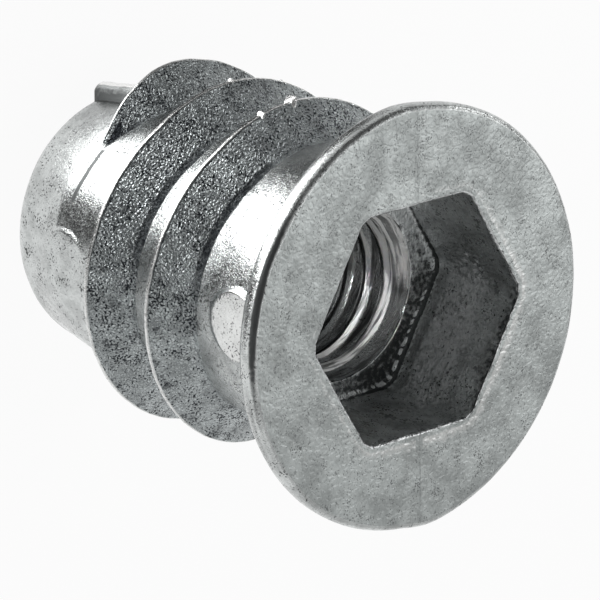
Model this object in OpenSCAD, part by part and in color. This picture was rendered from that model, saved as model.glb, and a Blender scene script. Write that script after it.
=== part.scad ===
// Screw-in threaded insert for wood, cast in zinc as one piece.
// A coarse wood thread runs round the outside, a hexagon socket sits in the flange,
// and a tapped bore runs on from the socket floor and out of the nose.
// The part stands on its nose end: the origin is on the axis at that end, +Z points out of the
// flange face, and the casting's parting plane is the XZ plane.

/* [Length] */
// Length from the nose end to the flange face
length = 20.7; // [17:0.1:30]

/* [Flange] */
// Diameter of the flange along the parting plane
flange_d = 18.66; // [17.5:0.02:22]
// Thickness of the flange
flange_t = 1.3; // [1:0.1:1.8]
// Radius on both edges of the flange rim
rim_round = 0.35; // [0.1:0.05:0.45]
// How far the arc of each cast half is set across the parting plane, which leaves the rim a little oval
half_offset = 0.24; // [0:0.02:0.3]
// Slip of the two cast halves of the flange along the parting plane
half_slip = 0.08; // [0:0.02:0.12]
// Radius of the fillet between the neck and the flange
neck_fillet = 1.2; // [0.6:0.1:1.4]

/* [Core] */
// Diameter of the core between the thread turns
core_d = 12.4; // [12:0.1:13]
// Diameter of the nose where its taper meets the rounded end
nose_d = 11.6; // [11:0.1:12]
// Length of the slight taper along the nose
nose_taper_l = 2.4; // [1.5:0.1:3]
// Radius of the rounded nose end
nose_round = 1.5; // [0.8:0.1:1.6]

/* [Wood thread] */
// Diameter over the crests of the wood thread
thread_d = 15.6; // [14.5:0.1:17]
// Rise of the wood thread in one turn
thread_pitch = 4.1; // [3.6:0.1:4.4]
// Hand of the wood thread
thread_hand = "left"; // [left, right]
// Turns of the wood thread, with both run-outs
thread_turns = 2.55; // [1.5:0.05:2.65]
// Height of the crest's middle at the start of the thread
thread_start_z = 4.58; // [4:0.02:4.8]
// Direction in which the thread starts, from the parting plane
thread_start_angle = 40; // [0:5:355]
// Width of the flat along the crest
crest_w = 0.15; // [0.1:0.05:0.4]
// Width along the axis of the flank that faces the nose
nose_flank_w = 0.7; // [0.5:0.05:0.9]
// Width along the axis of the flank that faces the flange
flange_flank_w = 1.1; // [0.8:0.05:1.3]
// Angle over which the thread grows to its full height
lead_in_angle = 45; // [30:5:90]
// Angle over which the thread dies away below the flange
run_out_angle = 60; // [30:5:90]
// Distance along the axis by which one cast half of the thread stands nearer the nose
half_drop = 0.95; // [0:0.05:1]

/* [Hexagon socket] */
// Width across the flats of the socket
socket_af = 10; // [9:0.1:10.4]
// Width across the blunted corners of the socket
socket_corner_d = 11.24; // [10.9:0.02:11.4]
// Depth of the socket
socket_depth = 5; // [3:0.1:6]

/* [Tapped bore] */
// Diameter of the bore inside the crests of its thread
bore_d = 6.8; // [6.4:0.1:7]
// Diameter of the countersink at the socket floor
bore_mouth_d = 8; // [7.4:0.1:8.4]
// Diameter of the countersink at the nose end
nose_mouth_d = 7.4; // [7.2:0.1:7.6]

/* [Casting marks] */
// Diameter of the flat marks left by the ejector pins
pin_mark_d = 3.2; // [2:0.1:3.6]
// Distance from the axis to the flat of the marks on the neck
neck_mark_reach = 6.26; // [6.22:0.01:6.5]
// Distance from the axis to the flat of the mark on the nose
nose_mark_reach = 6.2; // [6.1:0.01:6.4]
// Distance of the neck's mark below the flange face
neck_mark_depth = 4.5; // [4.2:0.1:5.5]
// Height of the nose's mark above the nose end
nose_mark_z = 4.6; // [4:0.1:5]
// Diameter of the gate stub left beside the parting line on the nose
gate_d = 0.9; // [0.5:0.1:1.2]
// Direction of the gate stub, from the parting plane
gate_angle = 8; // [0:1:15]
// Length of the gate stub
gate_l = 4; // [2:0.1:4.2]

/* [Hidden] */

$fn = 96;
core_r = core_d / 2;
nose_r = nose_d / 2;
flange_r = flange_d / 2;
bore_r = bore_d / 2;
mouth_r = bore_mouth_d / 2;
nose_mouth_r = nose_mouth_d / 2;
thread_r = thread_d / 2;
socket_floor_z = length - socket_depth;
seat_z = length - flange_t;
hand = thread_hand == "left" ? -1 : 1;
// Segments in the quarter circle of a rounded edge
arc_steps = 8;
// Steps in one turn of the wood thread
turn_steps = 96;
// Depth to which the wood thread is rooted in the core
root_sink = 0.6;
// Depth of the vanishing ends of the wood thread below the core's skin
end_sink = 0.1;
// Share of a turn over which the thread passes from one cast half to the other
half_blend = 1.9;
// Overlap of solids that are joined
overlap = 0.05;
// Room past a face for a tool that cuts through it
cut = 1;
big = 4 * flange_r;

// Points of a quarter arc, from one angle to the other, about a centre in the half plane
function arc(centre, radius, from, to) =
    [for (i = [0:arc_steps])
        let (a = from + (to - from) * i / arc_steps)
        [centre[0] + radius * cos(a), centre[1] + radius * sin(a)]];

// Half section of the core: rounded nose end, taper, neck and the fillet under the flange
module core() {
    taper_z = nose_round + nose_taper_l;
    fillet_z = seat_z - neck_fillet + overlap / 2;
    nose_end = arc([nose_r - nose_round, nose_round], nose_round, -90, 0);
    fillet = arc([core_r + neck_fillet, fillet_z], neck_fillet, 180, 90);
    rotate_extrude()
        polygon(concat(
            [[0, 0]],
            nose_end,
            [[core_r, taper_z]],
            fillet,
            [[core_r + neck_fillet, seat_z + overlap], [0, seat_z + overlap]]));
}

// The whole flange disc as one cast half sees it
module flange_disc() {
    rim_r = flange_r;
    top = arc([rim_r - rim_round, length - rim_round], rim_round, 0, 90);
    bottom = arc([rim_r - rim_round, seat_z + rim_round], rim_round, -90, 0);
    rotate_extrude()
        polygon(concat([[0, seat_z]], bottom, top, [[0, length]]));
}

// One cast half of the flange, on the +Y side for 1 and on the -Y side for -1
module flange_half(side) {
    intersection() {
        translate([side * half_slip, -side * half_offset, 0]) flange_disc();
        translate([-big / 2, side > 0 ? 0 : -big, seat_z - cut]) cube([big, big, flange_t + 2 * cut]);
    }
}

// How full the wood thread stands at an angle along it, from 0 at both ends to 1
function thread_fullness(turned) =
    min(1, turned / lead_in_angle, (thread_turns * 360 - turned) / run_out_angle);

// Radius of the crest at an angle along the thread
function crest_r(turned) =
    let (sunk_r = core_r - end_sink)
    sunk_r + (thread_r - sunk_r) * sin(90 * max(0, thread_fullness(turned)));

// 1 on the +Y cast half and 0 on the other, passing smoothly over the parting line
function on_first_half(angle) = (1 + max(-1, min(1, half_blend * sin(angle)))) / 2;

// Height of the crest's middle at an angle along the thread
function crest_z(turned) =
    let (angle = thread_start_angle + hand * turned)
    thread_start_z + thread_pitch * turned / 360
        - half_drop * (on_first_half(thread_start_angle) - on_first_half(angle));

// The four corners of the thread's section at an angle along it
function thread_section(turned) =
    let (angle = thread_start_angle + hand * turned,
         r = crest_r(turned),
         z = crest_z(turned),
         inner_r = core_r - root_sink,
         full = thread_r - core_r,
         below = crest_w / 2 + nose_flank_w * (r - inner_r) / full,
         above = crest_w / 2 + flange_flank_w * (r - inner_r) / full)
    [for (p = [[inner_r, z - below], [r, z - crest_w / 2], [r, z + crest_w / 2], [inner_r, z + above]])
        [p[0] * cos(angle), p[0] * sin(angle), p[1]]];

// The wood thread: one section swept round the core
module wood_thread() {
    steps = ceil(thread_turns * turn_steps);
    corners = len(thread_section(0));
    sections = [for (i = [0:steps]) each thread_section(thread_turns * 360 * i / steps)];
    sides = [for (i = [0:steps - 1], j = [0:corners - 1])
        let (a = i * corners + j,
             b = i * corners + (j + 1) % corners,
             quad = [a, b, b + corners, a + corners])
        each [[quad[0], quad[1], quad[2]], [quad[0], quad[2], quad[3]]]];
    first = [for (j = [corners - 1:-1:0]) j];
    last = [for (j = [0:corners - 1]) steps * corners + j];
    faces = concat([first], sides, [last]);
    // Mirroring the hand turns the faces inside out, so their order follows it
    polyhedron(sections, hand > 0 ? faces : [for (f = faces) [for (k = [len(f) - 1:-1:0]) f[k]]]);
}

// The hexagon socket, its corners blunted to a circle, with two flats square to the parting plane
module socket() {
    translate([0, 0, socket_floor_z])
        intersection() {
            rotate([0, 0, 30])
                cylinder(r = socket_af / 2 / cos(30), h = socket_depth + cut, $fn = 6);
            cylinder(d = socket_corner_d, h = socket_depth + cut);
        }
}

// The bore that takes the screw, countersunk at the socket floor and at the nose end
module bore() {
    translate([0, 0, -cut]) cylinder(r = bore_r, h = length + cut);
    translate([0, 0, socket_floor_z]) countersink(mouth_r);
    mirror([0, 0, 1]) countersink(nose_mouth_r);
}

// A right-angled countersink that widens upwards to a radius at z = 0 and runs a little past it
module countersink(radius) {
    translate([0, 0, bore_r - radius])
        cylinder(r1 = bore_r, r2 = radius + overlap, h = radius - bore_r + overlap);
}

// A flat round mark left by an ejector pin, square to the parting plane
module pin_mark(z, reach) {
    translate([0, 0, z])
        rotate([-90, 0, 0])
            translate([0, 0, (bore_r + core_r) / 2])
                cylinder(d = pin_mark_d, h = reach - (bore_r + core_r) / 2);
}

// The stub of the gate, a round-ended rib that leans with the taper of the nose
module gate_stub() {
    lean = atan((core_r - nose_r) / nose_taper_l);
    rotate([0, 0, gate_angle])
        translate([nose_r - nose_round * 0.12, 0, gate_d])
            rotate([0, lean, 0]) {
                cylinder(d = gate_d, h = gate_l);
                sphere(d = gate_d);
            }
}

// The whole casting
module threaded_insert() {
    color("lightsteelblue")
        difference() {
            union() {
                core();
                flange_half(1);
                flange_half(-1);
                wood_thread();
                pin_mark(length - neck_mark_depth, neck_mark_reach);
                pin_mark(nose_mark_z, nose_mark_reach);
                gate_stub();
            }
            socket();
            bore();
        }
}

threaded_insert();
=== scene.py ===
"""Looks of a cast, zinc-plated insert that is screwed into wood.

The insert is one casting. Its skin is laid in zones from the nose end to the flange and back
down through the socket and the tapped bore, and the zones are welded into one closed mesh.
Sizes are in millimetres and are turned into metres when the mesh is finished.
"""

import logging
import math
from collections.abc import Callable
from dataclasses import dataclass, field
from enum import Enum

import bmesh
import bpy
from mathutils import Matrix, Vector, noise

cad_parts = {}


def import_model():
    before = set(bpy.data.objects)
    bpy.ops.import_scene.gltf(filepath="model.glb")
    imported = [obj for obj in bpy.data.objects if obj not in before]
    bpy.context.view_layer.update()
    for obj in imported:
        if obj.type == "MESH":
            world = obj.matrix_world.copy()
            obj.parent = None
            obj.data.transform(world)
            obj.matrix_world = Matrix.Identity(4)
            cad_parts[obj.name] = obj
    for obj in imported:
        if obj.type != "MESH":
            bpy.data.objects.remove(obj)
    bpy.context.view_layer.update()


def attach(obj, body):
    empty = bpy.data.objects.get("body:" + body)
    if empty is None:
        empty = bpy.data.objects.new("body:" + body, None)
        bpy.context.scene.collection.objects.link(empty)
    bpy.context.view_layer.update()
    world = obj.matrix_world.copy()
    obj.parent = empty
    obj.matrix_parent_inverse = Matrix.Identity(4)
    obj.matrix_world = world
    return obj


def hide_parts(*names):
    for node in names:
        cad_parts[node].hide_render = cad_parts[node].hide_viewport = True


log = logging.getLogger("threaded_insert")

Pair = tuple[float, float]
Triple = tuple[float, float, float]

# One millimetre, in metres
METRES = 0.001
FULL_TURN = 360.0
# Decimals of the columns' angles, so that equal ones are found equal
ANGLE_DIGITS = 3
# The mesh's attribute that tells worn metal and painted highlights from grime and painted shade
WEAR_AND_LIGHT_LAYER = "wear_and_light"
# Distance within which the borders of two zones are joined
WELD = 1e-4
# Distance from the plain skin within which a mark moves a point
SKIN_REACH = 0.3
# Seed of the unevenness, so that each run gives the same skin
NOISE_SEED = 7


class Skin(Enum):
    """The finishes of the casting, in the order of their material slots."""

    PLATED = 0
    FLANK = 1
    FACE = 2
    SOCKET = 3
    TAPPED = 4


class Hand(Enum):
    """The way round in which a thread climbs."""

    LEFT = -1
    RIGHT = 1


@dataclass(frozen=True)
class Row:
    """One line of points along the part's outline.

    radius and height place it. wear_and_light is above 0 for wear and painted highlights, and below
    0 for grime and painted shade. skin is the finish of the faces between this row and the next.
    """

    radius: float
    height: float
    wear_and_light: float = 0.0
    skin: Skin = Skin.PLATED


def blend(low: float, high: float, share: float) -> float:
    """Returns the value a share of the way from low to high."""
    return low + (high - low) * share


def clamp(value: float, low: float = 0.0, high: float = 1.0) -> float:
    """Returns the value kept between low and high."""
    return max(low, min(high, value))


def ease(share: float) -> float:
    """Returns a share from 0 to 1 with a soft start and end."""
    share = clamp(share)
    return share * share * (3 - 2 * share)


def fade(away: float, reach: Pair) -> float:
    """Returns 1 up to the first distance of the reach, and less from there down to 0 at the second."""
    return clamp((reach[1] - away) / (reach[1] - reach[0]))


def degrees_between(one: float, other: float) -> float:
    """Returns the signed angle from other to one, between -180 and 180 degrees."""
    return (one - other + FULL_TURN / 2) % FULL_TURN - FULL_TURN / 2


def toward(middle: float, least: float, most: float, focus: float = 1.0) -> Callable[[float], float]:
    """Returns a share that is most in one direction and, the sooner with more focus, least elsewhere."""
    return lambda angle: blend(least, most, ((1 + math.cos(math.radians(angle - middle))) / 2) ** focus)


def on_circle(angle: float, radius: float, height: float) -> Vector:
    """Returns the point at an angle in degrees, a radius and a height."""
    turn = math.radians(angle)
    return Vector((radius * math.cos(turn), radius * math.sin(turn), height))


def arc_rows(centre: Pair, radii: Pair, angles: Pair, steps: int, wear_and_light: float = 0.0,
             skin: Skin = Skin.PLATED) -> list[Row]:
    """Rows along an arc of the outline.

    Args:
        centre: radius and height of the arc's centre.
        radii: the arc's reach outwards and upwards.
        angles: first and last angle in degrees, from the outward direction.
        steps: number of steps along the arc.
        wear_and_light: wear, grime and painted light at the middle of the arc.
        skin: finish of the faces along it.

    Returns:
        The rows, with both ends.
    """
    rows = []
    for step in range(steps + 1):
        share = step / steps
        turn = math.radians(blend(angles[0], angles[1], share))
        rows.append(Row(centre[0] + radii[0] * math.cos(turn), centre[1] + radii[1] * math.sin(turn),
                        wear_and_light * math.sin(math.pi * share), skin))
    return rows


def line_rows(start: Pair, end: Pair, steps: int, skin: Skin = Skin.PLATED) -> list[Row]:
    """Rows along a straight stretch of the outline, without its last point.

    Args:
        start: radius and height of the first row.
        end: radius and height of the point after the last row.
        steps: number of rows.
        skin: finish of the faces along it.

    Returns:
        The rows.
    """
    return [Row(blend(start[0], end[0], step / steps), blend(start[1], end[1], step / steps), 0.0, skin)
            for step in range(steps)]


def rounded(corners: list[Triple], steps: int) -> list[Pair]:
    """Rounds the corners of an open line.

    Args:
        corners: two coordinates and a radius for each corner; the ends stay sharp.
        steps: number of steps round each corner.

    Returns:
        The points of the rounded line.
    """
    points = [corners[0][:2]]
    for before, here, after in zip(corners, corners[1:], corners[2:]):
        spot = Vector(here[:2])
        back = (Vector(before[:2]) - spot).normalized()
        ahead = (Vector(after[:2]) - spot).normalized()
        half_angle = back.angle(ahead) / 2
        reach = here[2] / math.tan(half_angle)
        centre = spot + (back + ahead).normalized() * (here[2] / math.sin(half_angle))
        start = (spot + back * reach - centre).normalized()
        end = (spot + ahead * reach - centre).normalized()
        for step in range(steps + 1):
            points.append(tuple(centre + start.slerp(end, step / steps) * here[2]))
    points.append(corners[-1][:2])
    return points


def lay_sheet(bm: bmesh.types.BMesh, columns: int, rows: int,
              place: Callable[[int, int], tuple[Vector, float]], skin: Callable[[int, int], Skin]) -> None:
    """Adds a grid of faces and wraps it into place.

    Args:
        bm: the mesh that takes the grid.
        columns: number of faces round the part.
        rows: number of faces along the outline.
        place: gives the point and its wear_and_light for a column and a row of the grid.
        skin: gives the finish of the face that begins at a column and a row.
    """
    wear_and_light_layer = bm.verts.layers.float[WEAR_AND_LIGHT_LAYER]
    fresh = bmesh.ops.create_grid(bm, x_segments=columns, y_segments=rows, size=0.5)["verts"]
    spots = {vert: (round((vert.co.x + 0.5) * columns), round((vert.co.y + 0.5) * rows)) for vert in fresh}
    for vert, spot in spots.items():
        vert.co, vert[wear_and_light_layer] = place(*spot)
    for face in {face for vert in fresh for face in vert.link_faces}:
        face.material_index = skin(*min(spots[vert] for vert in face.verts)).value
        face.smooth = True


@dataclass
class Screw:
    """A thread's path: its hand, where it starts, and how it climbs."""

    hand: Hand
    pitch: float
    start_angle: float
    base_height: float

    def angle(self, turned: float) -> float:
        """Returns the direction reached after turning by some degrees."""
        return self.start_angle + self.hand.value * turned

    def height(self, turned: float) -> float:
        """Returns the height of the path's lower border after turning by some degrees."""
        return self.base_height + self.pitch * turned / FULL_TURN


@dataclass
class WoodThread:
    """The coarse outer thread with its two run-outs, and the core between its turns.

    It is laid as a strip whose rows are counted from the crest's middle. The tail is the faint
    dirty line in which the thread's start dies away on the nose.
    """

    core: "Core"
    crest_radius: float = 7.8
    crest_land: float = 0.15
    nose_flank: float = 0.7
    flange_flank: float = 1.1
    crest_round: float = 0.05
    foot_round: float = 0.2
    turns: float = 2.55
    lead_in: float = 45.0
    run_out: float = 60.0
    half_drop: float = 0.95
    half_blend: float = 1.9
    below_crest: float = 1.15
    top_height: float = 17.9
    screw: Screw = field(default_factory=lambda: Screw(Hand.LEFT, 4.1, 40.0, 3.43))
    # The strip's turns, its rows, and the degrees over which its ends spread out evenly
    strip_turns: int = 5
    margins: Pair = (0.2, 0.3)
    corner_steps: int = 3
    row_gap: float = 0.27
    rows_below: int = 2
    rows_above: int = 12
    least_width: float = 0.1
    end_passage: float = 12.0
    # Where the flanks' finish begins, beyond the crest's edge and over the foot, and how full
    # the thread stands there at least
    skin_edge: float = 0.03
    skin_rise: float = 0.1
    foot_skin: float = 0.12
    least_skin: float = 0.05
    # Wear along the crest with a painted highlight on it, from a share of the thread's rise on
    crest_wear_and_highlight: float = 0.6
    worn_from: float = 0.93
    worn_passage: float = 0.05
    # Distance past the crest's edge and painted shade of the rows beside it, below a share of the rise
    crest_shade_rows: tuple[Pair, Pair] = ((0.16, 0.0), (0.06, -0.9))
    crest_shade_share: float = 0.95
    # Painted shade at the foot of the flank that faces the flange, on one side of the part
    foot_shade: float = 0.68
    foot_share: float = 0.1
    shaded_side: float = 50.0
    shaded_reach: Pair = (22.5, 67.5)
    # Share of its full height at which the thread has all its wear and painted light
    marks_growth: float = 0.3
    tail_start: float = -27.0
    tail_end: float = 14.0
    tail_passage: float = 4.0
    tail_along: float = 0.28
    tail_reach: Pair = (1 / 18, 1 / 6)
    tail_grime: float = 1.3

    @property
    def rise(self) -> float:
        """Height of the full thread over the core."""
        return self.crest_radius - self.core.radius

    def first_half(self, angle: float) -> float:
        """Returns 1 on the first cast half and 0 on the other, with a soft passage."""
        return (1 + clamp(self.half_blend * math.sin(math.radians(angle)), -1, 1)) / 2

    def drop(self, angle: float) -> float:
        """Returns how far the thread stands nearer the nose in a direction."""
        return self.half_drop * (self.first_half(self.screw.start_angle) - self.first_half(angle))

    def fullness(self, turned: float) -> float:
        """Returns the share of its full height that the thread has after some degrees."""
        share = min(1.0, turned / self.lead_in, (self.turns * FULL_TURN - turned) / self.run_out)
        return math.sin(math.pi / 2 * clamp(share))

    def tail(self, turned: float, along: float) -> float:
        """The grime on the tail.

        Args:
            turned: degrees from the thread's start.
            along: height from the crest's middle.

        Returns:
            The wear_and_light, below 0 on the tail and 0 beside it.
        """
        begun = clamp((turned - self.tail_start) / self.tail_passage)
        left = clamp((self.tail_end - turned) / self.tail_passage)
        return -self.tail_grime * begun * left * fade(abs(along - self.tail_along), self.tail_reach)

    def section_wear_and_light(self, along: float, up: float) -> float:
        """The wear_and_light of a point of the full section.

        Args:
            along: height from the crest's middle.
            up: rise over the core.

        Returns:
            The wear_and_light: painted shade below 0 at the foot on the flange side, and wear with a painted
                highlight above 0 on the crest.
        """
        if along > self.crest_land / 2 and up < self.foot_share * self.rise:
            return -self.foot_shade
        return self.crest_wear_and_highlight * ease((up / self.rise - self.worn_from) / self.worn_passage)

    def section(self) -> list[Triple]:
        """The full section over the core, from the nose side to the flange side.

        Returns:
            Height from the crest's middle, rise over the core, and wear_and_light of each point, with the
            painted shade beside the crest.
        """
        half = self.crest_land / 2
        nose_foot, flange_foot = -half - self.nose_flank, half + self.flange_flank
        corners = [(nose_foot - self.margins[0], 0.0, 0.0), (nose_foot, 0.0, self.foot_round / 2),
                   (-half, self.rise, self.crest_round), (half, self.rise, self.crest_round),
                   (flange_foot, 0.0, self.foot_round), (flange_foot + self.margins[1], 0.0, 0.0)]
        points = rounded(corners, self.corner_steps)
        made = []
        for (along, up), (next_along, next_up) in zip(points, points[1:] + points[-1:]):
            steps = max(1, round(math.dist((along, up), (next_along, next_up)) / self.row_gap))
            for step in range(steps):
                spot = (blend(along, next_along, step / steps), blend(up, next_up, step / steps))
                made.append((*spot, self.section_wear_and_light(*spot)))
        hem = next(index for index, (along, up, _) in enumerate(made)
                   if along > half and up < self.crest_shade_share * self.rise)
        for distance, wear_and_light in self.crest_shade_rows:
            near, far, share = made[hem - 1], made[hem], distance / self.row_gap
            made.insert(hem, (blend(near[0], far[0], share), blend(near[1], far[1], share), wear_and_light))
        return made

    def lay(self, bm: bmesh.types.BMesh, turned: list[float]) -> None:
        """Lays the threaded stretch as one strip that climbs round the core.

        Args:
            bm: the mesh of the casting.
            turned: the columns of one turn, in degrees from the thread's start.
        """
        section = self.section()
        first, last = section[0][0], section[-1][0]
        above_end = self.screw.pitch - self.below_crest
        below = [blend(-self.below_crest, first, step / self.rows_below) for step in range(self.rows_below)]
        above = [blend(last, above_end, (step + 1) / self.rows_above) for step in range(self.rows_above)]
        spots = [(along, 0.0, 0.0) for along in below] + section + [(along, 0.0, 0.0) for along in above]
        last_row = len(spots) - 1

        def turn_reached(column: int) -> float:
            """Returns the degrees turned at a column; the strip begins a turn before the thread."""
            return FULL_TURN * (column // len(turned) - 1) + turned[column % len(turned)]

        def place(column: int, row: int) -> tuple[Vector, float]:
            """Places one point of the strip.

            Args:
                column: its place along the strip.
                row: its place across the strip.

            Returns:
                The point and its wear_and_light.
            """
            degrees = turn_reached(column)
            angle = self.screw.angle(degrees)
            full = self.fullness(degrees)
            along, up, wear_and_light = spots[row]
            narrow = blend(self.least_width, 1.0, full)
            if along < first:
                outward = (along - first) / (-self.below_crest - first)
                along = blend(first * narrow, -self.below_crest, outward)
            elif along > last:
                outward = (along - last) / (above_end - last)
                along = blend(last * narrow, above_end, outward)
            else:
                along *= narrow
            even = blend(-self.below_crest, above_end, row / last_row)
            inside = min(degrees, self.turns * FULL_TURN - degrees)
            along = blend(even, along, ease(1 + inside / self.end_passage))
            middle = self.screw.height(degrees) + self.below_crest - self.drop(angle)
            height = clamp(middle + along, self.screw.base_height, self.top_height)
            # The painted shade at the foot and beside the crest fades away from one side of the part
            if wear_and_light < 0:
                wear_and_light *= fade(abs(degrees_between(angle, self.shaded_side)), self.shaded_reach)
            wear_and_light *= ease(full / self.marks_growth)
            if degrees < self.tail_end:
                wear_and_light = min(wear_and_light, self.tail(degrees, along))
            return on_circle(angle, self.core.radius_at(height) + up * full, height), wear_and_light

        def skin(column: int, row: int) -> Skin:
            """Finds the finish of one face of the strip.

            Args:
                column: its place along the strip.
                row: its place across the strip.

            Returns:
                The flanks' finish, or the plated one on the core and the crest.
            """
            along, up, _ = spots[row]
            beyond = abs(along) - self.crest_land / 2
            over_foot = up > self.skin_rise if along < 0 else beyond < self.flange_flank + self.foot_skin
            on_flank = beyond > self.skin_edge and over_foot
            there = self.fullness(turn_reached(column)) > self.least_skin
            return Skin.FLANK if on_flank and there else Skin.PLATED

        lay_sheet(bm, self.strip_turns * len(turned), last_row, place, skin)


@dataclass
class Core:
    """The nose end, its taper and the plain core."""

    radius: float = 6.2
    nose_radius: float = 5.8
    nose_round: float = 1.5
    taper_length: float = 2.4
    mouth_radius: float = 3.7
    mouth_depth: float = 0.3
    mouth_edge: float = 0.05

    def radius_at(self, height: float) -> float:
        """Finds the core's radius.

        Args:
            height: height over the nose end.

        Returns:
            The radius there, on the rounded end, the taper or the plain core.
        """
        if height < self.nose_round:
            drop = self.nose_round - height
            return self.nose_radius - self.nose_round + math.sqrt(max(0.0, self.nose_round ** 2 - drop ** 2))
        return blend(self.nose_radius, self.radius, clamp((height - self.nose_round) / self.taper_length))

    def rows(self, top: float) -> list[Row]:
        """Rows from the countersink at the nose end up to a height on the taper.

        Args:
            top: height of the last row.

        Returns:
            The rows.
        """
        flat_edge = self.nose_radius - self.nose_round
        inner_edge = (self.mouth_radius - self.mouth_edge, self.mouth_edge)
        outer_edge = (self.mouth_radius + self.mouth_edge, 0.0)
        bottom_ring = (self.mouth_radius - self.mouth_depth, self.mouth_depth)
        rows = line_rows(bottom_ring, inner_edge, 2, Skin.TAPPED)
        rows += line_rows(inner_edge, outer_edge, 1)
        rows += line_rows(outer_edge, (flat_edge, 0.0), 3)
        rows += arc_rows((flat_edge, self.nose_round), (self.nose_round, self.nose_round), (-90, 0), 14)[:-1]
        rows += line_rows((self.nose_radius, self.nose_round), (self.radius_at(top), top), 10)
        return rows + [Row(self.radius_at(top), top)]


@dataclass
class Flange:
    """The neck's fillet, the flange's two slipped halves and the edge of its face."""

    core: Core
    radius: float = 9.33
    thickness: float = 1.3
    top: float = 20.7
    fillet: float = 1.2
    face_round: Pair = (0.28, 0.35)
    back_round: Pair = (0.9, 0.85)
    half_offset: float = 0.24
    half_slip: float = 0.08
    slip_passage: float = 0.09
    # Painted shade along the rounded edge of the face
    edge_shade: float = 0.5

    def rim(self, angle: float) -> float:
        """Finds the radius of the rim, which is made of two arcs set across the parting plane.

        Args:
            angle: the direction, in degrees.

        Returns:
            The radius.
        """
        side = clamp(math.sin(math.radians(angle)) / self.slip_passage, -1, 1)
        centre = Vector((side * self.half_slip, -side * self.half_offset))
        along = centre.dot(on_circle(angle, 1, 0).xy)
        return along + math.sqrt(self.radius ** 2 - centre.length_squared + along ** 2)

    def rows(self, bottom: float) -> list[Row]:
        """Rows from the neck over the fillet, the seat and the rim to the edge of the face.

        Args:
            bottom: height of the first row, on the neck.

        Returns:
            The rows.
        """
        seat = self.top - self.thickness
        fillet_reach = self.core.radius + self.fillet
        rows = line_rows((self.core.radius, bottom), (self.core.radius, seat - self.fillet), 2)
        rows += arc_rows((fillet_reach, seat - self.fillet), (self.fillet, self.fillet), (180, 90), 9)[:-1]
        inward, upward = self.back_round
        rows += line_rows((fillet_reach, seat), (self.radius - inward, seat), 5)
        rows += arc_rows((self.radius - inward, seat + upward), self.back_round, (-90, 0), 9)[:-1]
        inward, downward = self.face_round
        rows += line_rows((self.radius, seat + upward), (self.radius, self.top - downward), 2)
        # The face's rounded edge takes painted shade
        rows += arc_rows((self.radius - inward, self.top - downward), self.face_round, (0, 90), 7,
                         -self.edge_shade)
        return rows

    def point(self, angle: float, row: Row) -> Vector:
        """Places a point of a row, with the flange's oval and slip.

        Args:
            angle: the direction, in degrees.
            row: the row.

        Returns:
            The point.
        """
        fillet_reach = self.core.radius + self.fillet
        share = ease((row.radius - fillet_reach) / (self.radius - fillet_reach))
        return on_circle(angle, row.radius + share * (self.rim(angle) - self.radius), row.height)


@dataclass
class Socket:
    """The hexagon socket with its blunted corners and flat floor."""

    across_flats: float = 10.0
    corner_radius: float = 5.62
    depth: float = 5.0
    edge_round: float = 0.1
    floor_round: float = 0.22
    draft: float = 0.06
    entry_radius: float = 4.0
    edge_shade: float = 1.2
    foot_shade: float = 1.5
    # Painted shade below the edge, and wear with painted light about a depth
    top_shade: float = 0.9
    top_shade_depth: float = 1.6
    wear_and_light_weight: float = 0.9
    worn_depth: float = 3.0
    bright_reach: Pair = (1.08, 1.98)

    def outline(self, angle: float) -> float:
        """Returns the socket's radius in a direction."""
        aside = math.radians(degrees_between(angle * 6, 0) / 6)
        return min(self.across_flats / 2 / math.cos(aside), self.corner_radius)

    def wall_wear_and_light(self, below: float) -> float:
        """Returns the wear_and_light of the walls at a depth: painted shade at the top, and wear with
        painted light about the middle.
        """
        light_mark = self.wear_and_light_weight * ease(fade(abs(below - self.worn_depth), self.bright_reach))
        return light_mark - self.top_shade * ease(1 - below / self.top_shade_depth)

    def rows(self, top: float) -> list[Row]:
        """Rows from the face down the walls to the floor.

        Args:
            top: height of the face.

        Returns:
            The rows, with radii counted from the outline of the socket.
        """
        edge, foot = top - self.edge_round, top - self.depth + self.floor_round
        # Painted shade along the socket's rounded top edge, then wear and painted light down the walls
        rows = arc_rows((self.edge_round, edge), (self.edge_round, self.edge_round), (90, 180), 4,
                        -self.edge_shade, Skin.SOCKET)[:-1]
        wall = line_rows((0, edge), (-self.draft, foot), 14, Skin.SOCKET)
        rows += [Row(row.radius, row.height, self.wall_wear_and_light(top - row.height), row.skin) for row in wall]
        # Painted shade in the fillet at the foot of the walls
        rows += arc_rows((-self.draft - self.floor_round, foot), (self.floor_round, self.floor_round),
                         (0, -90), 4, -self.foot_shade, Skin.SOCKET)
        return rows


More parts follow.
